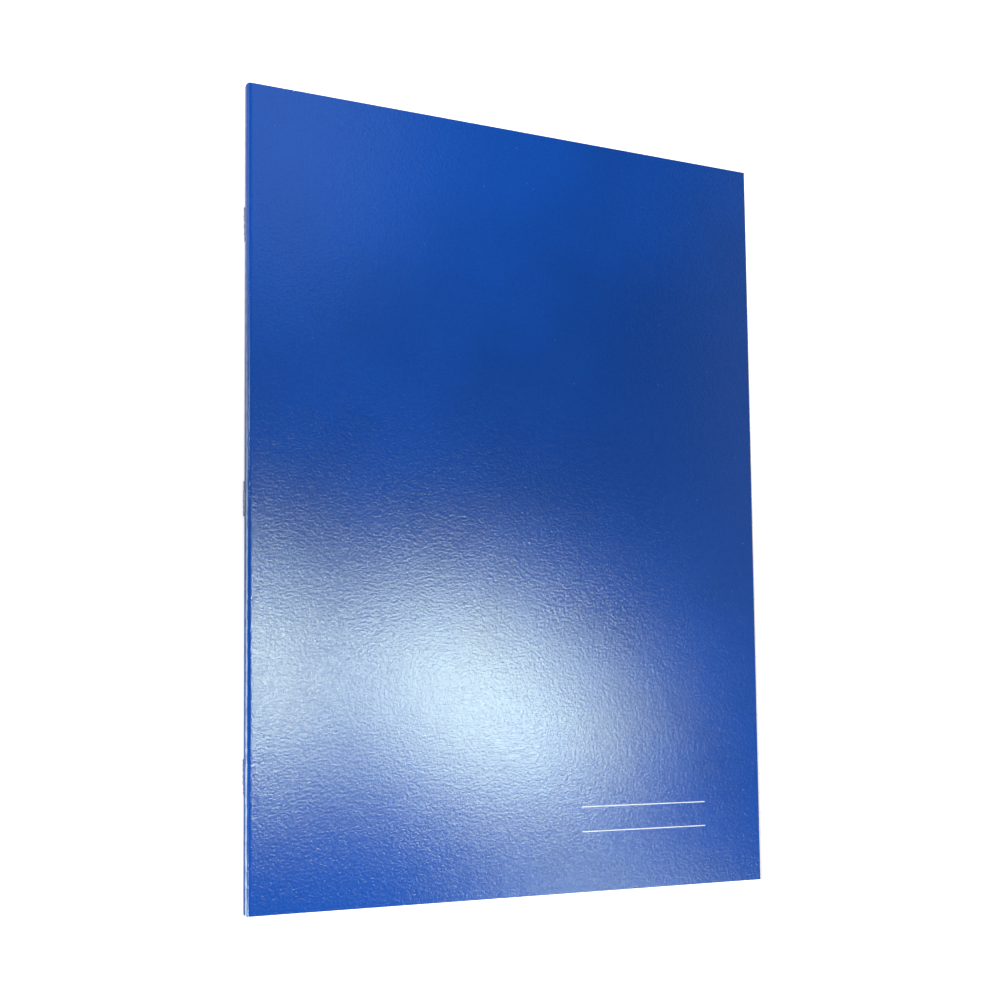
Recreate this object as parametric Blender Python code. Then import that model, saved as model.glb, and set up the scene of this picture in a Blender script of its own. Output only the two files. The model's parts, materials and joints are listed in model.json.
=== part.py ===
# A saddle-stitched exercise book: one folded card cover, folded sheets nested inside it and wire staples.
# It lies on its back cover. X runs from the spine to the fore edge, Y from tail to head, Z up. Metres.

import math

import bmesh
import bpy
from mathutils import Vector

MM = 0.001

# Sizes of the closed book
BOOK_WIDTH = 210 * MM
BOOK_HEIGHT = 297 * MM

# Sheets: each one is folded into two leaves
SHEET_COUNT = 16
PAPER_THICKNESS = 0.1 * MM
LEAF_GAP = 0.015 * MM

# Card cover
CARD_THICKNESS = 0.3 * MM
CARD_TO_LEAF_GAP = 0.04 * MM
BACK_COVER_SHORT = 0.3 * MM
FRONT_COVER_SHORT_HEAD = 0.3 * MM
FRONT_COVER_SHORT_TAIL = 1.4 * MM
CREASE_LIFT = 0.35 * MM

# A fold ends in short flats, so that leaves and boards turn clear of the wire's legs
FLAT_TO_WIRE_CLEARANCE = 0.05 * MM
FOLD_JOINT_GAP = 0.05 * MM
SHEET_FOLD_STEPS = 6
CARD_FOLD_STEPS = 14
FOLD_SMOOTH_ANGLE = math.radians(40)

# Wire staples
STAPLE_CENTRES_FROM_HEAD = {
    "staple_top": 51.8 * MM,
    "staple_middle": 151.4 * MM,
    "staple_bottom": 249.3 * MM,
}
WIRE_DIAMETER = 0.5 * MM
WIRE_CLEARANCE = 0.03 * MM
STAPLE_CROWN = 13 * MM
CROWN_BOW = 0.08 * MM
CROWN_STAND_OFF = 0.02 * MM
CLINCH_TIP_GAP = 3 * MM
WIRE_BEND_RADIUS = 0.4 * MM
BEND_STEPS = 4
CROWN_STEPS = 6
HOLE_CLEARANCE = 0.08 * MM
HOLE_SIDES = 6
CUTTER_OVERRUN = 1 * MM

# Derived places
SHEET_PITCH = PAPER_THICKNESS + LEAF_GAP
CENTRE_GAP = WIRE_DIAMETER + 2 * WIRE_CLEARANCE
INNER_SHEET_RADIUS = (CENTRE_GAP + PAPER_THICKNESS) / 2
OUTER_SHEET_RADIUS = INNER_SHEET_RADIUS + (SHEET_COUNT - 1) * SHEET_PITCH
CARD_INNER_RADIUS = OUTER_SHEET_RADIUS + PAPER_THICKNESS / 2 + CARD_TO_LEAF_GAP
SPINE_RADIUS = CARD_INNER_RADIUS + CARD_THICKNESS
CROWN_REACH = SPINE_RADIUS + CROWN_STAND_OFF + WIRE_DIAMETER / 2
LEAF_REACH = BOOK_WIDTH - SPINE_RADIUS
FOLD_FLAT = WIRE_DIAMETER / 2 + FLAT_TO_WIRE_CLEARANCE
LEAF_START = FOLD_FLAT + FOLD_JOINT_GAP
STAPLE_OUTER_REACH = CROWN_REACH + CROWN_BOW + WIRE_DIAMETER / 2

# The book's lowest centre is the origin, so the fold's axis lies left of it and half the thickness up
FOLD_AXIS = Vector(((STAPLE_OUTER_REACH - LEAF_REACH) / 2, 0, SPINE_RADIUS))
COVER_CREASE = FOLD_AXIS + Vector((FOLD_FLAT, 0, SPINE_RADIUS + CREASE_LIFT))

# Colours (linear), roughness and metallic value
CARD_BLUE = ((0.030, 0.125, 0.430), 0.38, 0.0)
PAPER_WHITE = ((0.86, 0.86, 0.83), 0.85, 0.0)
WIRE_STEEL = ((0.62, 0.63, 0.65), 0.28, 1.0)


def clear_scene():
    for item in list(bpy.data.objects):
        bpy.data.objects.remove(item, do_unlink=True)


def make_material(name, finish):
    colour, roughness, metallic = finish
    material = bpy.data.materials.new(name)
    material.use_nodes = True
    shader = material.node_tree.nodes["Principled BSDF"]
    shader.inputs["Base Color"].default_value = (*colour, 1)
    shader.inputs["Roughness"].default_value = roughness
    shader.inputs["Metallic"].default_value = metallic
    return material


def add_empty(name, place, parent=None):
    """An axis marker at a world place. Nothing here is rotated, so places only add up."""
    empty = bpy.data.objects.new(name, None)
    empty.empty_display_size = 5 * MM
    bpy.context.collection.objects.link(empty)
    attach(empty, place, parent)
    return empty


def attach(item, place, parent):
    item.parent = parent
    item.location = place - (world_place(parent) if parent else Vector())


def world_place(item):
    place = item.location.copy()
    while item.parent:
        item = item.parent
        place += item.location
    return place


def add_mesh(name, mesh, material, place, parent):
    item = bpy.data.objects.new(name, mesh)
    bpy.context.collection.objects.link(item)
    attach(item, place, parent)
    mesh.materials.append(material)
    return item


def prism(shape, outline, direction):
    """Adds one closed solid to a bmesh: an outline of points, pushed along a direction."""
    face = shape.faces.new([shape.verts.new(point) for point in outline])
    pushed = bmesh.ops.extrude_face_region(shape, geom=[face], use_keep_orig=True)["geom"]
    moved = [part for part in pushed if isinstance(part, bmesh.types.BMVert)]
    bmesh.ops.translate(shape, verts=moved, vec=direction)


def finished_mesh(name, shape, smooth_angle=None):
    bmesh.ops.recalc_face_normals(shape, faces=shape.faces)
    mesh = bpy.data.meshes.new(name)
    shape.to_mesh(mesh)
    shape.free()
    if smooth_angle:
        mesh.shade_smooth()
        mesh.set_sharp_from_angle(angle=smooth_angle)
    return mesh


def slab(outline, low, thickness, axis_x=0):
    """A flat sheet from a low Z upward. The outline counts X from the fold's axis, the mesh from axis_x."""
    shape = bmesh.new()
    prism(shape, [Vector((x - axis_x, y, low)) for x, y in outline], Vector((0, 0, thickness)))
    return finished_mesh("slab", shape)


def page_outline(reach_at_head, reach_at_tail):
    head = BOOK_HEIGHT / 2
    return [
        (LEAF_START, -head),
        (reach_at_tail, -head),
        (reach_at_head, head),
        (LEAF_START, head),
    ]


def half_ring(shape, inner_radius, outer_radius, steps):
    """A fold as long as the book is high: half a ring on the spine side of its axis, with flat ends."""
    tail = -BOOK_HEIGHT / 2

    def arc(radius):
        turns = [math.pi / 2 + math.pi * i / steps for i in range(steps + 1)]
        round_part = [Vector((radius * math.cos(t), tail, radius * math.sin(t))) for t in turns]
        return [Vector((FOLD_FLAT, tail, radius))] + round_part + [Vector((FOLD_FLAT, tail, -radius))]

    prism(shape, arc(outer_radius) + arc(inner_radius)[::-1], Vector((0, BOOK_HEIGHT, 0)))


def sheet_radius(sheet):
    """The radius of a sheet's fold at the middle of the paper. Sheet 0 is the outermost."""
    return OUTER_SHEET_RADIUS - sheet * SHEET_PITCH


def staple_place(from_head):
    return FOLD_AXIS + Vector((0, BOOK_HEIGHT / 2 - from_head, 0))


def leg_offset():
    return (STAPLE_CROWN - WIRE_DIAMETER) / 2


def make_leaves(material, axis):
    """Leaf 1 lies under the front cover. Leaf n and leaf 2 * SHEET_COUNT + 1 - n are one folded sheet."""
    leaves = []
    outline = page_outline(LEAF_REACH, LEAF_REACH)
    for number in range(2 * SHEET_COUNT):
        in_front_half = number < SHEET_COUNT
        sheet = number if in_front_half else 2 * SHEET_COUNT - 1 - number
        height = sheet_radius(sheet) if in_front_half else -sheet_radius(sheet)
        mesh = slab(outline, height - PAPER_THICKNESS / 2, PAPER_THICKNESS)
        leaves.append(add_mesh(f"leaf_{number + 1:02d}", mesh, material, FOLD_AXIS, axis))
    return leaves


def make_covers(material, crease):
    front = page_outline(LEAF_REACH - FRONT_COVER_SHORT_HEAD, LEAF_REACH - FRONT_COVER_SHORT_TAIL)
    front_mesh = slab(front, -CREASE_LIFT - CARD_THICKNESS, CARD_THICKNESS, FOLD_FLAT)
    add_mesh("front_cover", front_mesh, material, COVER_CREASE, crease)
    back = page_outline(LEAF_REACH - BACK_COVER_SHORT, LEAF_REACH - BACK_COVER_SHORT)
    back_mesh = slab(back, -SPINE_RADIUS, CARD_THICKNESS)
    add_mesh("back_cover", back_mesh, material, FOLD_AXIS, None)


def make_wire_holes(axis):
    """One cutter with a prism along X for each staple leg."""
    shape = bmesh.new()
    corner_radius = (WIRE_DIAMETER / 2 + HOLE_CLEARANCE) / math.cos(math.pi / HOLE_SIDES)
    start = -SPINE_RADIUS - CUTTER_OVERRUN
    for from_head in STAPLE_CENTRES_FROM_HEAD.values():
        for side in (-1, 1):
            middle = staple_place(from_head).y + side * leg_offset()
            turns = [2 * math.pi * (i + 0.5) / HOLE_SIDES for i in range(HOLE_SIDES)]
            outline = [
                Vector((start, middle + corner_radius * math.cos(t), corner_radius * math.sin(t)))
                for t in turns
            ]
            prism(shape, outline, Vector((-start, 0, 0)))
    cutter = bpy.data.objects.new("wire_holes", finished_mesh("wire_holes", shape))
    bpy.context.collection.objects.link(cutter)
    attach(cutter, FOLD_AXIS, axis)
    cutter.hide_render = True
    cutter.display_type = "WIRE"
    return cutter


def pierce(item, cutter):
    cut = item.modifiers.new("wire_holes", "BOOLEAN")
    cut.operation = "DIFFERENCE"
    cut.solver = "EXACT"
    cut.object = cutter


def make_fold(name, inner_radius, thickness, steps, material, axis, cutter):
    shape = bmesh.new()
    half_ring(shape, inner_radius, inner_radius + thickness, steps)
    mesh = finished_mesh(name, shape, FOLD_SMOOTH_ANGLE)
    pierce(add_mesh(name, mesh, material, FOLD_AXIS, axis), cutter)


def make_folds(card, paper, axis, cutter):
    """The cover's round spine, and inside it the fold of each sheet, all pierced by the wire."""
    make_fold("cover_spine", CARD_INNER_RADIUS, CARD_THICKNESS, CARD_FOLD_STEPS, card, axis, cutter)
    for sheet in range(SHEET_COUNT):
        inner = sheet_radius(sheet) - PAPER_THICKNESS / 2
        name = f"fold_{sheet + 1:02d}"
        make_fold(name, inner, PAPER_THICKNESS, SHEET_FOLD_STEPS, paper, axis, cutter)


def bend(centre_x, centre_y, first_turn):
    """A quarter bend of the wire, counted anticlockwise in X and Y."""
    turns = [first_turn + math.pi / 2 * i / BEND_STEPS for i in range(BEND_STEPS + 1)]
    return [
        (centre_x + WIRE_BEND_RADIUS * math.cos(t), centre_y + WIRE_BEND_RADIUS * math.sin(t))
        for t in turns
    ]


def staple_route():
    """The wire's centre line: clinched tip on the fold's axis, leg out through the spine, half the crown."""
    leg = leg_offset()
    bend_y = leg - WIRE_BEND_RADIUS
    half = [(0, CLINCH_TIP_GAP / 2)]
    half += bend(-WIRE_BEND_RADIUS, bend_y, 0)
    half += bend(WIRE_BEND_RADIUS - CROWN_REACH, bend_y, math.pi / 2)
    crown = []
    for i in range(1, CROWN_STEPS):
        y = bend_y * (1 - 2 * i / CROWN_STEPS)
        crown.append((-CROWN_REACH - CROWN_BOW * (1 - (y / bend_y) ** 2), y))
    other_half = [(x, -y) for x, y in reversed(half)]
    return half + crown + other_half


def make_staples(material, axis):
    route = staple_route()
    for name, from_head in STAPLE_CENTRES_FROM_HEAD.items():
        wire = bpy.data.curves.new(name, "CURVE")
        wire.dimensions = "3D"
        wire.bevel_depth = WIRE_DIAMETER / 2
        wire.bevel_resolution = 2
        wire.use_fill_caps = True
        spline = wire.splines.new("POLY")
        spline.points.add(len(route) - 1)
        for point, (x, y) in zip(spline.points, route):
            point.co = (x, y, 0, 1)
        wire.materials.append(material)
        item = bpy.data.objects.new(name, wire)
        bpy.context.collection.objects.link(item)
        attach(item, staple_place(from_head), axis)


def make_book():
    clear_scene()
    card = make_material("cover_card", CARD_BLUE)
    paper = make_material("page_paper", PAPER_WHITE)
    steel = make_material("staple_wire", WIRE_STEEL)
    fold_axis = add_empty("fold_axis", FOLD_AXIS)
    leaves = make_leaves(paper, fold_axis)
    crease = add_empty("cover_crease", COVER_CREASE, leaves[0])
    make_covers(card, crease)
    cutter = make_wire_holes(fold_axis)
    make_folds(card, paper, fold_axis, cutter)
    make_staples(steel, fold_axis)
    bpy.context.view_layer.update()


make_book()
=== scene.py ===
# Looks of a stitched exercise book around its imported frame: card cover, ruled sheets, wire staples, studio.
# Metres, in the frame of the model: X from spine to fore edge, Y from tail to head, Z up.
# Materials work in millimetres, on the rest place that each piece keeps.

import json
import math
import random

import bmesh
import bpy
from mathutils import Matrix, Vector


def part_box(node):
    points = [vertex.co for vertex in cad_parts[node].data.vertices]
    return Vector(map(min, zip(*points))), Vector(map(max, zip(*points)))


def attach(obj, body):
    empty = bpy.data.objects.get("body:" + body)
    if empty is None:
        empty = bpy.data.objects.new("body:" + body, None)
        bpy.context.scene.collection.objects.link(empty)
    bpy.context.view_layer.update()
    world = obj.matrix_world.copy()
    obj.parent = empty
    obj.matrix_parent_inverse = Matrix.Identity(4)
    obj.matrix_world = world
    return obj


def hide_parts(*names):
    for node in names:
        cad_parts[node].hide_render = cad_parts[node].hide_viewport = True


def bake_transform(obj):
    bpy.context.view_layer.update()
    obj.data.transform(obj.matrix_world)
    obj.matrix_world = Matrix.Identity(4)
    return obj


MM = 0.001

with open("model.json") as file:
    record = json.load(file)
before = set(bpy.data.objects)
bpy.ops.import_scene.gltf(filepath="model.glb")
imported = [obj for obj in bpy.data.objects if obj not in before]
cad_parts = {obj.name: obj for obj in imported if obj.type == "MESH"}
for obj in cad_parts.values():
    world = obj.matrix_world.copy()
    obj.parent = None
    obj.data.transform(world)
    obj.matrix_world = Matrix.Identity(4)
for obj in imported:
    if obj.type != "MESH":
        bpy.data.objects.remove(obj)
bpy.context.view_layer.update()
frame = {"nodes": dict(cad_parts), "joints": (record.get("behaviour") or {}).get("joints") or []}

# Places read from the model
OPENING = next(j for j in frame["joints"] if j["name"] == "book_opening")
AXIS_X, AXIS_Z = OPENING["pos_m"][0], OPENING["pos_m"][2]
FRONT_LOW, FRONT_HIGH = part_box("front_cover")
SPINE_LOW, SPINE_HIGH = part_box("cover_spine")
CARD = FRONT_HIGH.z - FRONT_LOW.z
TOP = FRONT_HIGH.z
HEAD = FRONT_HIGH.y
TAIL = FRONT_LOW.y
FLAT_END = SPINE_HIGH.x
BACK_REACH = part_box("back_cover")[1].x
front_corners = [v.co for v in frame["nodes"]["front_cover"].data.vertices if v.co.x > 0]
TAIL_REACH = min(corner.x for corner in front_corners if corner.y < 0)
SHEETS = sum(1 for name in frame["nodes"] if name.startswith("fold_"))

# Form of the folds: a superellipse, squarer on the outside of the book
COVER_SQUARENESS = 2.9
INNER_SQUARENESS = 2.0
SHEET_SQUARENESS_SHARE = 0.9
SHARP_EDGE = math.radians(40)

# Wear at the spine's ends, and where across the spine it starts
SPINE_END_WEAR = 0.7 * MM
WEAR_START = 0.55

# The cover bends along its crease over this width
CREASE_REACH = 1.4 * MM

# Uneven trimming of the sheets' fore edge
TRIM_SEED = 11
MOST_TRIM = 0.12 * MM

# Steps of the meshes
FOLD_STEPS = 22
CREASE_STEPS = 8
BOARD_STEPS = 12
PAGE_STEPS = 4
COVER_ROWS = 60
SHEET_ROWS = 3


def superellipse(radius, squareness, steps):
    """Half a rounded square about the axis on the spine side, from below to above, as (x, z)."""
    found = []
    for i in range(steps + 1):
        turn = -math.pi / 2 + math.pi * i / steps
        across = abs(math.cos(turn)) ** (2 / squareness)
        up = math.copysign(abs(math.sin(turn)) ** (2 / squareness), turn)
        found.append((AXIS_X - radius * across, AXIS_Z + radius * up))
    return found


def along_x(start, end, steps, z):
    """Evenly spaced points of a level line, as (x, z)."""
    return [(start + (end - start) * i / steps, z) for i in range(steps + 1)]


def sheet_mesh(name, line, thickness, rows, ends):
    """A bent sheet as one closed mesh.
    line is the middle of the thickness as (x, z), with the outside on its left. ends(i) gives tail and head
    Y at line point i. Material 0 is the outside, 1 the inside and 2 the cut edge."""
    count = len(line)
    normals = []
    for i in range(count):
        before, after = line[max(i - 1, 0)], line[min(i + 1, count - 1)]
        direction = Vector((after[0] - before[0], after[1] - before[1])).normalized()
        normals.append((-direction.y, direction.x))
    vertices = []
    for side in (1, -1):
        for i, (x, z) in enumerate(line):
            tail, head = ends(i)
            for row in range(rows + 1):
                y = tail + (head - tail) * row / rows
                push = side * thickness / 2
                vertices.append((x + normals[i][0] * push, y, z + normals[i][1] * push))
    width = rows + 1
    inside = count * width
    faces = []
    kinds = []

    def add(kind, *corners):
        faces.append(corners)
        kinds.append(kind)

    for i in range(count - 1):
        for row in range(rows):
            a, b = i * width + row, (i + 1) * width + row
            add(0, a, a + 1, b + 1, b)
            add(1, inside + b, inside + b + 1, inside + a + 1, inside + a)
        for row in (0, rows):
            a, b = i * width + row, (i + 1) * width + row
            add(2, a, b, inside + b, inside + a)
    for i in (0, count - 1):
        for row in range(rows):
            a = i * width + row
            add(2, a, a + 1, inside + a + 1, inside + a)
    mesh = bpy.data.meshes.new(name)
    mesh.from_pydata(vertices, [], faces)
    for face, kind in zip(mesh.polygons, kinds):
        face.material_index = kind
    shape = bmesh.new()
    shape.from_mesh(mesh)
    bmesh.ops.recalc_face_normals(shape, faces=shape.faces)
    shape.to_mesh(mesh)
    shape.free()
    mesh.shade_smooth()
    mesh.set_sharp_from_angle(angle=SHARP_EDGE)
    return mesh


def add_piece(name, mesh, materials):
    """Links a mesh whose places are in the model's frame, and keeps its rest places for the materials."""
    rest = mesh.attributes.new("rest", "FLOAT_VECTOR", "POINT")
    for i, vertex in enumerate(mesh.vertices):
        rest.data[i].vector = vertex.co
    for material in materials:
        mesh.materials.append(material)
    piece = bpy.data.objects.new(name, mesh)
    bpy.context.scene.collection.objects.link(piece)
    return piece


# Materials


def grey(level):
    return (level, level, level, 1)


WHITE = grey(1)


class Tree:
    """A short way to write node trees: each call adds a node and gives back one of its outputs."""

    def __init__(self, name):
        self.material = bpy.data.materials.new(name)
        self.material.use_nodes = True
        self.nodes = self.material.node_tree.nodes
        self.links = self.material.node_tree.links
        self.shader = self.nodes["Principled BSDF"]

    def put(self, socket, value):
        if isinstance(value, bpy.types.NodeSocket):
            self.links.new(value, socket)
        else:
            socket.default_value = value

    def add(self, kind, inputs=(), output=0, **settings):
        node = self.nodes.new("ShaderNode" + kind)
        for key, value in settings.items():
            setattr(node, key, value)
        for key, value in dict(inputs).items():
            self.put(node.inputs[key], value)
        return node.outputs[output]

    def math(self, operation, *values):
        return self.add("Math", enumerate(values), operation=operation)

    def vector(self, operation, *values, output=0):
        return self.add("VectorMath", enumerate(values), output=output, operation=operation)

    def smooth(self, value, low, high, to_low=0.0, to_high=1.0):
        """A smooth step from to_low, where value is low, to to_high, where it is high."""
        inputs = {0: value, 1: low, 2: high, 3: to_low, 4: to_high}
        return self.add("MapRange", inputs, interpolation_type="SMOOTHSTEP")

    def mix(self, share, a, b, kind="MIX"):
        inputs = {0: share, 6: a, 7: b}
        return self.add("Mix", inputs, output=2, data_type="RGBA", blend_type=kind)

    def noise(self, place, scale, detail=2.0, roughness=0.5):
        inputs = {"Vector": place, "Scale": scale, "Detail": detail, "Roughness": roughness}
        return self.add("TexNoise", inputs)

    def bump(self, height, strength, distance):
        inputs = {"Height": height, "Strength": strength, "Distance": distance}
        return self.add("Bump", inputs)

    def object_place(self):
        return self.add("TexCoord", output=3)

    def rest_mm(self):
        """Rest place in millimetres."""
        place = self.add("Attribute", output=1, attribute_name="rest")
        return self.stretched(place, (1000, 1000, 1000))

    def stretched(self, place, factors):
        return self.vector("MULTIPLY", place, factors)

    def split(self, place):
        """The x, y and z of a place."""
        node = self.nodes.new("ShaderNodeSeparateXYZ")
        self.links.new(place, node.inputs[0])
        return node.outputs[0], node.outputs[1], node.outputs[2]

    def finish(self, **sockets):
        for key, value in sockets.items():
            self.put(self.shader.inputs[key.replace("_", " ")], value)
        return self.material


# Card: colours, the lighter of the two blues standing for painted light and the darker for painted shade, and
# the faintly green sheen of its coating
LIT_BLUE = (0.0060, 0.086, 0.485, 1)
SHADED_BLUE = (0.0046, 0.056, 0.315, 1)
# Colour of wear, also used for a painted highlight along the spine's corners
WEAR_AND_HIGHLIGHT = (0.62, 0.76, 0.90, 1)
DUST = (0.55, 0.62, 0.72, 1)
SHEEN = (0.83, 1.0, 0.70, 1)
COATING_IOR = 1.5

# Middle of the band of painted shade across the cover, up from the middle of the book
SHADE_BAND_Y = 30.0

# The line along both edges of the spine, partly real wear and partly a painted highlight on the spine's
# corner: its place from the fold's axis at the tail, and how much it moves towards the head
RIDGE_OUT = 1.95
RIDGE_UP = 1.95
RIDGE_OUT_CHANGE = 0.35
RIDGE_UP_CHANGE = 0.95
RIDGE_RAGGEDNESS = 0.9
CORE_RADIUS, FADE_RADIUS = 0.16, 0.42

# Orange-peel grain, as noises per millimetre, and where it fades out towards the spine
GRAIN, FINE_GRAIN = 1.15, 2.5
FINE_SHARE = 0.5
GRAIN_DEPTH = 0.055 * MM
GRAIN_END, GRAIN_START = -1.9, -0.5


def blue_with_painted_light(tree, place, x, y):
    """The card's blue with painted light and shade: painted lighter towards the spine and towards the head
    and the tail, with a band of painted shade across the middle and random unevenness, under fine fibres.
    """
    cloud = tree.noise(place, 0.02, 3)
    from_shade_band = tree.math("ABSOLUTE", tree.math("SUBTRACT", y, SHADE_BAND_Y))
    # Painted light and shade: lighter towards the spine and towards the head and the tail, darker in a band
    # across the middle
    to_spine = tree.smooth(x, 125.0, -80.0, 0.05, 0.60)
    to_ends = tree.smooth(from_shade_band, 15.0, 120.0, -0.12, 0.40)
    uneven = tree.smooth(cloud, 0.35, 0.65, -0.10, 0.10)
    painted_light = tree.math("ADD", tree.math("ADD", to_spine, to_ends), uneven)
    colour = tree.mix(tree.smooth(painted_light, 0.0, 1.0), SHADED_BLUE, LIT_BLUE)
    fibres = tree.noise(place, 1.6, 3, 0.6)
    shade = tree.mix(tree.smooth(fibres, 0.3, 0.7), grey(0.82), WHITE)
    return tree.mix(1.0, colour, shade, "MULTIPLY")


def spine_wear_and_highlight(tree, x, y, z):
    """A ragged line along both edges of the spine, stronger towards the tail: partly real wear, and partly a
    painted highlight where the spine's corner catches the light.
    """
    headward = tree.smooth(y, -20.0, 130.0)
    outward = tree.math("MULTIPLY", headward, RIDGE_OUT_CHANGE)
    inward = tree.math("MULTIPLY", headward, RIDGE_UP_CHANGE)
    ridge_x = tree.math("SUBTRACT", AXIS_X / MM - RIDGE_OUT, outward)
    ridge_up = tree.math("SUBTRACT", RIDGE_UP, inward)
    up = tree.math("ABSOLUTE", tree.math("SUBTRACT", z, AXIS_Z / MM))
    aside = {0: tree.math("SUBTRACT", x, ridge_x), 1: tree.math("SUBTRACT", up, ridge_up)}
    away = tree.vector("LENGTH", tree.add("CombineXYZ", aside), output=1)
    stretched = {0: tree.math("MULTIPLY", x, 1.2), 1: tree.math("MULTIPLY", y, 0.25), 2: z}
    ragged = tree.noise(tree.add("CombineXYZ", stretched), 1.0, 4, 0.65)
    shift = tree.math("MULTIPLY", tree.math("SUBTRACT", ragged, 0.5), RIDGE_RAGGEDNESS)
    line = tree.smooth(tree.math("ADD", away, shift), CORE_RADIUS, FADE_RADIUS, 1.0, 0.0)
    return tree.math("MULTIPLY", line, tree.smooth(y, 20.0, -110.0, 0.35, 1.0))


def edge_chips(tree, place, y):
    """Small chips along the trimmed head and tail."""
    edge = tree.math("SUBTRACT", HEAD / MM, tree.math("ABSOLUTE", y))
    reach = tree.smooth(tree.noise(place, 1.1, 3, 0.7), 0.60, 0.78, 0.0, 0.5)
    return tree.math("MULTIPLY", tree.math("LESS_THAN", edge, reach), 0.7)


def dust_specks(tree, place):
    away = tree.add("TexVoronoi", {"Vector": place, "Scale": 0.16, "Randomness": 1.0})
    return tree.math("MULTIPLY", tree.math("LESS_THAN", away, 0.02), 0.35)


def card_grain(tree, place, x):
    """Bump of the coated card, which fades out on the stretched card at the spine."""
    fine = tree.math("MULTIPLY", tree.noise(place, FINE_GRAIN, 1.0, 0.5), FINE_SHARE)
    height = tree.math("ADD", tree.noise(place, GRAIN, 1.5, 0.5), fine)
    flat_part = tree.smooth(x, AXIS_X / MM + GRAIN_END, AXIS_X / MM + GRAIN_START)
    return tree.bump(tree.math("MULTIPLY", height, flat_part), 1.0, GRAIN_DEPTH)


def card_outside():
    tree = Tree("card_outside")
    place = tree.rest_mm()
    x, y, z = tree.split(place)
    wear_and_highlight_share = tree.math("MAXIMUM", spine_wear_and_highlight(tree, x, y, z), edge_chips(tree, place, y))
    # Colour of wear, which along the spine's edges is also a painted highlight
    colour = tree.mix(wear_and_highlight_share, blue_with_painted_light(tree, place, x, y), WEAR_AND_HIGHLIGHT)
    colour = tree.mix(dust_specks(tree, place), colour, DUST)
    polish = tree.smooth(tree.noise(place, 0.6, 3), 0.3, 0.7, 0.14, 0.17)
    roughness = tree.math("ADD", polish, tree.math("MULTIPLY", wear_and_highlight_share, 0.3))
    return tree.finish(
        Base_Color=colour,
        Roughness=roughness,
        Normal=card_grain(tree, place, x),
        IOR=COATING_IOR,
        Specular_Tint=SHEEN,
    )


def card_inside():
    tree = Tree("card_inside")
    place = tree.rest_mm()
    fibres = tree.noise(place, 2.2, 4, 0.6)
    cloud = tree.noise(place, 0.05, 2)
    colour = tree.mix(tree.smooth(fibres, 0.3, 0.7), (0.66, 0.66, 0.64, 1), (0.76, 0.76, 0.74, 1))
    colour = tree.mix(tree.smooth(cloud, 0.3, 0.7, 0.0, 0.2), colour, (0.70, 0.69, 0.64, 1))
    return tree.finish(Base_Color=colour, Roughness=0.72, Normal=tree.bump(fibres, 0.3, 0.04 * MM))


def card_edge():
    tree = Tree("card_edge")
    fibres = tree.noise(tree.stretched(tree.rest_mm(), (1, 1, 9)), 1.5, 3, 0.6)
    colour = tree.mix(tree.smooth(fibres, 0.35, 0.65), (0.10, 0.17, 0.38, 1), (0.55, 0.60, 0.68, 1))
    return tree.finish(Base_Color=colour, Roughness=0.7, Normal=tree.bump(fibres, 0.4, 0.05 * MM))


# Ruling of the pages, in millimetres
LINE_PITCH = 8.0
LINE_HALF_WIDTH = 0.16
LINE_CORE = 0.08
MARGIN_CORE, MARGIN_HALF_WIDTH = 0.14, 0.24
HEAD_MARGIN = 22.0
TAIL_MARGIN = 14.0
SIDE_MARGIN = 24.0
LINE_INK = (0.30, 0.46, 0.70, 1)
MARGIN_INK = (0.75, 0.22, 0.25, 1)


def ruled_lines(tree, place, y):
    """Share of ink on the ruled lines, which stop at the head and tail margins."""
    down = tree.math("SUBTRACT", HEAD / MM - HEAD_MARGIN, y)
    wrapped = tree.math("FLOORED_MODULO", down, LINE_PITCH)
    phase = tree.math("ABSOLUTE", tree.math("SUBTRACT", wrapped, LINE_PITCH / 2))
    ruled = tree.smooth(phase, LINE_PITCH / 2 - LINE_HALF_WIDTH, LINE_PITCH / 2 - LINE_CORE)
    ruled = tree.math("MULTIPLY", ruled, tree.math("GREATER_THAN", down, -0.2))
    ruled = tree.math("MULTIPLY", ruled, tree.math("GREATER_THAN", y, TAIL / MM + TAIL_MARGIN))
    return tree.math("MULTIPLY", ruled, tree.smooth(tree.noise(place, 3.0, 2), 0.2, 0.6, 0.45, 0.75))


def page_face():
    tree = Tree("page_face")
    place = tree.rest_mm()
    x, y, _ = tree.split(place)
    fibres = tree.noise(place, 2.6, 4, 0.65)
    cloud = tree.noise(place, 0.04, 2)
    colour = tree.mix(tree.smooth(fibres, 0.3, 0.7), (0.76, 0.76, 0.73, 1), (0.84, 0.84, 0.81, 1))
    colour = tree.mix(tree.smooth(cloud, 0.3, 0.7, 0.0, 0.15), colour, (0.78, 0.76, 0.70, 1))
    colour = tree.mix(ruled_lines(tree, place, y), colour, LINE_INK)
    aside = tree.math("ABSOLUTE", tree.math("SUBTRACT", x, AXIS_X / MM + SIDE_MARGIN))
    margin = tree.smooth(aside, MARGIN_CORE, MARGIN_HALF_WIDTH, 0.7, 0.0)
    colour = tree.mix(margin, colour, MARGIN_INK)
    return tree.finish(Base_Color=colour, Roughness=0.82, Normal=tree.bump(fibres, 0.25, 0.03 * MM))


def page_edge():
    tree = Tree("page_edge")
    streaks = tree.noise(tree.stretched(tree.rest_mm(), (0.3, 0.3, 6)), 1.4, 3, 0.6)
    colour = tree.mix(tree.smooth(streaks, 0.3, 0.7), (0.62, 0.62, 0.58, 1), (0.82, 0.82, 0.79, 1))
    return tree.finish(Base_Color=colour, Roughness=0.9, Normal=tree.bump(streaks, 0.4, 0.04 * MM))


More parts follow.
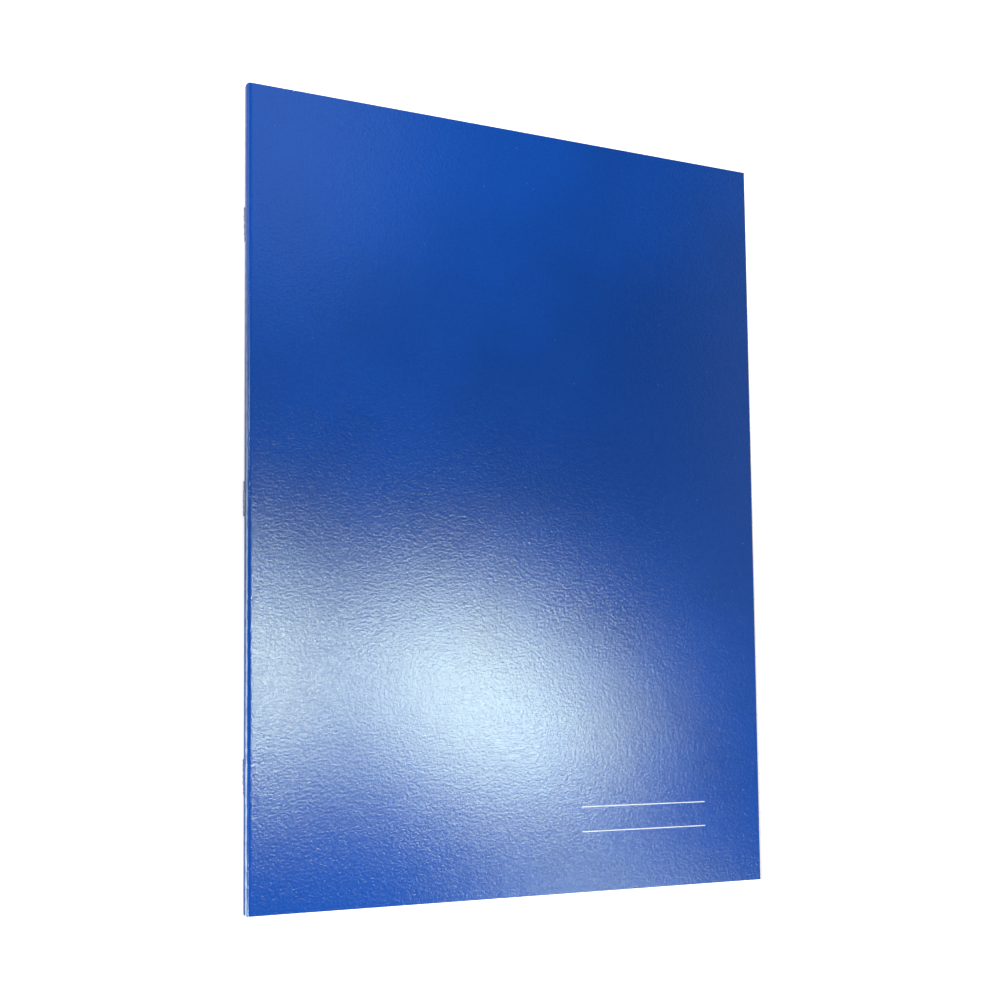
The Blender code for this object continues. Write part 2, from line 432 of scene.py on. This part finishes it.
def print_white():
    tree = Tree("print_white")
    ink = tree.noise(tree.rest_mm(), 2.4, 3)
    colour = tree.mix(tree.smooth(ink, 0.3, 0.7), (0.74, 0.78, 0.84, 1), (0.88, 0.90, 0.92, 1))
    return tree.finish(Base_Color=colour, Roughness=0.45, Normal=tree.bump(ink, 0.2, 0.02 * MM))


def wire():
    """Drawn steel, streaked along the spine."""
    tree = Tree("wire")
    place = tree.stretched(tree.object_place(), (1000, 1000, 1000))
    drawn = tree.noise(tree.stretched(place, (6, 0.5, 6)), 1.2, 3, 0.6)
    colour = tree.mix(tree.smooth(drawn, 0.3, 0.7), (0.52, 0.53, 0.56, 1), (0.78, 0.79, 0.82, 1))
    roughness = tree.smooth(drawn, 0.3, 0.7, 0.22, 0.38)
    bump = tree.bump(drawn, 0.3, 0.03 * MM)
    return tree.finish(Base_Color=colour, Roughness=roughness, Metallic=1.0, Normal=bump)


# Cover

CARD_LOOKS = [card_outside(), card_inside(), card_edge()]
middle_radius = AXIS_Z - CARD / 2


def spine_ends(line):
    """Tail and head Y of a cover line: the spine's outermost part is worn a little short."""

    def ends(i):
        share = (AXIS_X - line[i][0]) / (AXIS_X - SPINE_LOW.x)
        out = max(0.0, share - WEAR_START) / (1 - WEAR_START)
        short = SPINE_END_WEAR * out * out
        return TAIL + short, HEAD - short

    return ends


def back_and_spine():
    """The back board and the spine."""
    line = along_x(BACK_REACH, FLAT_END, BOARD_STEPS, CARD / 2)
    line += superellipse(middle_radius, COVER_SQUARENESS, FOLD_STEPS)
    line.append((FLAT_END, TOP - CARD / 2))
    mesh = sheet_mesh("cover_back_and_spine", line, CARD, COVER_ROWS, spine_ends(line))
    cover_back = add_piece("cover_back_and_spine", mesh, CARD_LOOKS)
    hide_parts("back_cover", "cover_spine")
    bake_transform(cover_back)


def front():
    """The front board, whose fore edge is trimmed a little out of square."""
    z = TOP - CARD / 2
    line = along_x(FLAT_END, FLAT_END + CREASE_REACH, CREASE_STEPS, z)
    line += along_x(FLAT_END + CREASE_REACH, FRONT_HIGH.x, BOARD_STEPS, z)[1:]
    mesh = sheet_mesh("cover_front", line, CARD, COVER_ROWS, lambda i: (TAIL, HEAD))
    for vertex in mesh.vertices:
        share = (vertex.co.x - FLAT_END) / (FRONT_HIGH.x - FLAT_END)
        down = (HEAD - vertex.co.y) / (HEAD - TAIL)
        vertex.co.x += (TAIL_REACH - FRONT_HIGH.x) * down * max(0.0, share * 2 - 1)
    cover_front = add_piece("cover_front", mesh, CARD_LOOKS)
    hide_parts("front_cover")
    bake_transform(cover_front)


back_and_spine()
front()

# Sheets

page, page_cut = page_face(), page_edge()
PAGE_LOOKS = [page, page, page_cut]


def folded_sheet(number):
    """One sheet: the front half with the fold, and the back half."""
    upper = f"leaf_{number:02d}"
    lower = f"leaf_{2 * SHEETS + 1 - number:02d}"
    fold = f"fold_{number:02d}"
    low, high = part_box(upper)
    thickness = high.z - low.z
    radius = (low.z + high.z) / 2 - AXIS_Z
    more = (COVER_SQUARENESS - INNER_SQUARENESS) * radius / middle_radius
    arc = superellipse(radius, INNER_SQUARENESS + more * SHEET_SQUARENESS_SHARE, FOLD_STEPS)
    fore_edge = high.x - random.uniform(0, MOST_TRIM)
    line = [(FLAT_END, AXIS_Z - radius)] + arc + along_x(FLAT_END, fore_edge, PAGE_STEPS, AXIS_Z + radius)
    mesh = sheet_mesh(f"sheet_{number:02d}_front", line, thickness, SHEET_ROWS, lambda i: (low.y, high.y))
    front_half = add_piece(f"sheet_{number:02d}_front", mesh, PAGE_LOOKS)
    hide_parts(upper, fold)
    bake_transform(front_half)
    line = along_x(fore_edge, FLAT_END, PAGE_STEPS, AXIS_Z - radius)
    mesh = sheet_mesh(f"sheet_{number:02d}_back", line, thickness, SHEET_ROWS, lambda i: (low.y, high.y))
    back_half = add_piece(f"sheet_{number:02d}_back", mesh, PAGE_LOOKS)
    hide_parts(lower)
    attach(back_half, lower)


random.seed(TRIM_SEED)
for sheet in range(1, SHEETS + 1):
    folded_sheet(sheet)

# Staples

steel = wire()
for name, node in frame["nodes"].items():
    if name.startswith("staple_"):
        for slot in node.material_slots:
            slot.material = steel
        node.data.shade_smooth()

# Write-in rules on the cover

RULES = {"write_in_rule_1": -0.1160, "write_in_rule_2": -0.1255}
RULE_START, RULE_END = 0.0240, 0.0785
RULE_WIDTH = 0.35 * MM
RULE_HEIGHT = 0.012 * MM
RULE_SUNK = 0.25
RULE_STEPS = 20
RULE_ROWS = 2


def write_in_rule(name, y, white):
    """A thin printed line, sunk a quarter of its height into the card."""
    line = along_x(RULE_START, RULE_END, RULE_STEPS, TOP + RULE_HEIGHT * RULE_SUNK)
    edges = (y - RULE_WIDTH / 2, y + RULE_WIDTH / 2)
    mesh = sheet_mesh(name, line, RULE_HEIGHT, RULE_ROWS, lambda i: edges)
    rule = add_piece(name, mesh, [white, white, white])
    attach(rule, "front_cover")


white_ink = print_white()
for name, y in RULES.items():
    write_in_rule(name, y, white_ink)

# Stage and world

STAGE_RADIUS = 4.0
STAGE_BEND = 1.0
STAGE_HEIGHT = 3.6
STAGE_DROP = 0.1 * MM
STAGE_STEPS = 64
FLAT_SHARES = (0.2, 0.5, 0.8, 1.0)
BEND_TURNS = (0.2, 0.5, 0.8, 1.1, 1.4)

# How strongly the stage glows for the camera: near the book, where its shadow falls, and far out
NEAR, FAR = 0.6, 1.8
NEAR_GLOW, FAR_GLOW = 0.72, 1.0
MIRRORED_GLOW = 0.9
WORLD_STRENGTH = 0.06


def stage_material():
    """White where the camera or a mirror sees it, and it keeps the book's shadow."""
    tree = Tree("stage_white")
    tree.nodes.remove(tree.shader)
    place = tree.object_place()
    cloud = tree.noise(place, 3.0, 2)
    lit = tree.add("BsdfDiffuse", {"Color": tree.mix(tree.smooth(cloud, 0.3, 0.7), grey(0.80), grey(0.82))})
    strength = tree.smooth(tree.vector("LENGTH", place, output=1), NEAR, FAR, NEAR_GLOW, FAR_GLOW)
    glow = tree.add("Emission", {"Color": WHITE, "Strength": strength})
    backdrop = tree.add("Emission", {"Color": WHITE, "Strength": MIRRORED_GLOW})
    seen = tree.add("AddShader", {0: lit, 1: glow})
    path = tree.nodes.new("ShaderNodeLightPath").outputs
    shader = tree.add("MixShader", {0: path["Is Camera Ray"], 1: lit, 2: seen})
    mirrored = tree.math("MAXIMUM", path["Is Glossy Ray"], path["Is Transmission Ray"])
    shader = tree.add("MixShader", {0: mirrored, 1: shader, 2: backdrop})
    tree.links.new(shader, tree.nodes["Material Output"].inputs["Surface"])
    return tree.material


def make_stage():
    """A floor that turns up into a round wall a long way off."""
    flat = STAGE_RADIUS - STAGE_BEND
    profile = [(flat * share, 0.0) for share in FLAT_SHARES]
    for turn in BEND_TURNS:
        profile.append((flat + STAGE_BEND * math.sin(turn), STAGE_BEND * (1 - math.cos(turn))))
    profile += [(STAGE_RADIUS, STAGE_BEND), (STAGE_RADIUS, STAGE_HEIGHT)]
    turns = [2 * math.pi * i / STAGE_STEPS for i in range(STAGE_STEPS)]
    shape = bmesh.new()
    rings = []
    for radius, height in profile:
        places = [(radius * math.cos(t), radius * math.sin(t), height - STAGE_DROP) for t in turns]
        rings.append([shape.verts.new(place) for place in places])
    shape.faces.new(rings[0])
    for inner, outer in zip(rings, rings[1:]):
        for i in range(STAGE_STEPS):
            j = (i + 1) % STAGE_STEPS
            shape.faces.new((inner[i], outer[i], outer[j], inner[j]))
    mesh = bpy.data.meshes.new("stage")
    shape.to_mesh(mesh)
    shape.free()
    mesh.shade_smooth()
    mesh.materials.append(stage_material())
    floor = bpy.data.objects.new("stage", mesh)
    bpy.context.scene.collection.objects.link(floor)


make_stage()

world = bpy.data.worlds.new("studio")
world.use_nodes = True
world.node_tree.nodes["Background"].inputs["Color"].default_value = WHITE
world.node_tree.nodes["Background"].inputs["Strength"].default_value = WORLD_STRENGTH
bpy.context.scene.world = world

# Lamps

LAMP_Z = 1.19
SPOT_RADIUS = 0.05


def add_lamp(name, light, place):
    item = bpy.data.objects.new(name, light)
    item.visible_camera = False
    item.location = place
    bpy.context.scene.collection.objects.link(item)
    return item


def aim(item, place, target):
    item.rotation_euler = (Vector(target) - Vector(place)).to_track_quat("-Z", "Y").to_euler()


def panel(name, place, size, power, turn=0.0, target=None):
    """An elliptical lamp that faces straight down, turned about its own axis, or faces the target."""
    light = bpy.data.lights.new(name, "AREA")
    light.shape = "ELLIPSE"
    light.size, light.size_y = size
    light.energy = power
    item = add_lamp(name, light, place)
    item.rotation_euler = (0, 0, math.radians(turn))
    if target:
        aim(item, place, target)


def soft_spot(name, place, target, reach, power):
    """A faint round pool of light; reach is its radius at the target."""
    light = bpy.data.lights.new(name, "SPOT")
    light.energy = power
    light.shadow_soft_size = SPOT_RADIUS
    light.spot_blend = 1.0
    light.spot_size = 2 * math.atan(reach / (Vector(target) - Vector(place)).length)
    aim(add_lamp(name, light, place), place, target)


# The first three make the glare on the cover, the side panel fills from the spine's side, the haze lamps
# lift the head and the fore edge a little, and the pools brighten the head and the tail
panel("key", (0.432, -0.064, LAMP_Z), (0.45, 0.24), 7.0, turn=-27)
panel("key_left", (0.086, -0.018, LAMP_Z), (0.04, 0.30), 3.0, turn=12)
panel("low_glow", (0.66, -0.44, LAMP_Z), (0.42, 0.18), 2.2, turn=-10)
panel("side_panel", (-1.25, 0.10, 0.55), (1.40, 0.80), 5.5, target=(-0.10, 0, 0))
panel("haze_head", (0.12, 0.80, LAMP_Z), (0.40, 0.60), 0.48)
panel("haze_edge", (0.97, 0.42, LAMP_Z), (0.26, 1.00), 0.34)
soft_spot("pool_head", (-0.75, 0.35, LAMP_Z), (-0.09, 0.145, 0), 0.150, 22)
soft_spot("pool_tail", (-0.80, -0.45, LAMP_Z), (0.0, -0.150, 0), 0.190, 34)

# Camera, fitted to the cover's corners in the photograph

CAMERA_PLACE = (-0.173065, -0.079936, 0.419848)
CAMERA_TURN = (0.071647, -0.375489, -0.012963)
FOCAL_PIXELS = 1180.9
FRAME_PIXELS = 1000
SENSOR_MM = 36
SHIFT = 0.135

camera_data = bpy.data.cameras.new("camera")
camera_data.sensor_width = SENSOR_MM
camera_data.lens = SENSOR_MM * FOCAL_PIXELS / FRAME_PIXELS
camera_data.shift_y = SHIFT
camera_data.clip_start = 10 * MM
camera = bpy.data.objects.new("camera", camera_data)
camera.location = CAMERA_PLACE
camera.rotation_euler = CAMERA_TURN
bpy.context.scene.collection.objects.link(camera)
bpy.context.scene.camera = camera

bpy.context.scene.view_settings.view_transform = "Standard"
